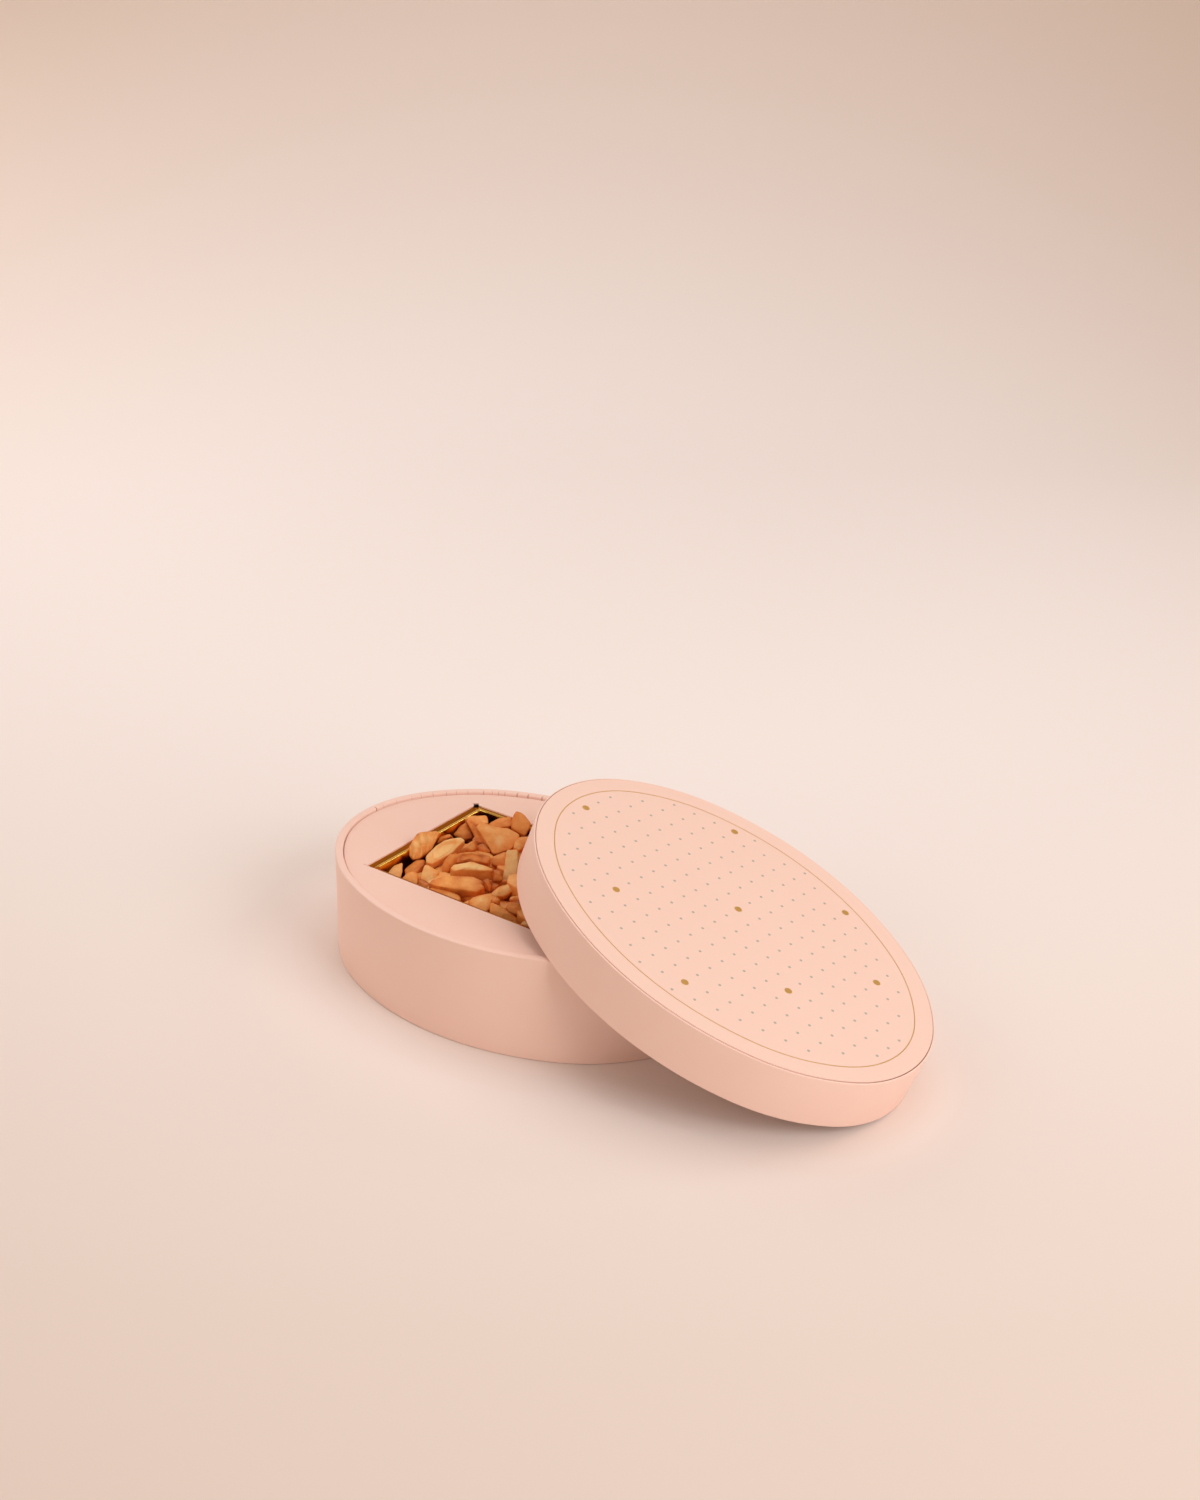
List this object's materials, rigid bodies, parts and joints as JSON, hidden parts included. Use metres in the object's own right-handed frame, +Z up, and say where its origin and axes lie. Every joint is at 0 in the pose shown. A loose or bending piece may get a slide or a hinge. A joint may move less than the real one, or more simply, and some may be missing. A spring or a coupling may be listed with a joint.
{
  "type": "sweet box",
  "caption": "Oval paperboard sweet box, lid off and leaning on the rim; a windowed deck frames a gold tray heaped with fried dough pieces.",
  "frame": {"origin": "middle of the tub's underside, on the surface it stands on", "axes": "+X along the tub's length towards the end that the lid leans over, +Y along its width, +Z up"},
  "size_m": [0.3437, 0.1755, 0.1043],
  "materials": {
    "blush_wrap_paper": "matt printed wrap paper",
    "blush_card": "matt coated card",
    "greyboard": "uncoated pressed board",
    "blush_print_paper": "matt printed paper",
    "gold_board": "metallised gold laminate",
    "fried_dough": "dry golden crust"
  },
  "bodies": {
    "base": {"base_bottom_paper": "blush_wrap_paper", "base_wall_board": "greyboard", "base_bottom_board": "greyboard", "base_wrap_paper": "blush_wrap_paper", "platform_support_collar": "blush_card", "platform_card": "blush_card", "gold_tray": "gold_board", "fried_lower_pieces": "fried_dough", "fried_top_pieces": "fried_dough"},
    "lid": {"lid_band_board": "greyboard", "lid_top_board": "greyboard", "lid_band_wrap_paper": "blush_wrap_paper", "lid_top_paper": "blush_print_paper", "lid_inside_paper": "blush_wrap_paper"}
  },
  "joints": [
    {"name": "lid_lift", "type": "slide", "parent": "base", "child": "lid", "axis": [0, 0, 1], "range_m": [0, 0.12]}
  ]
}
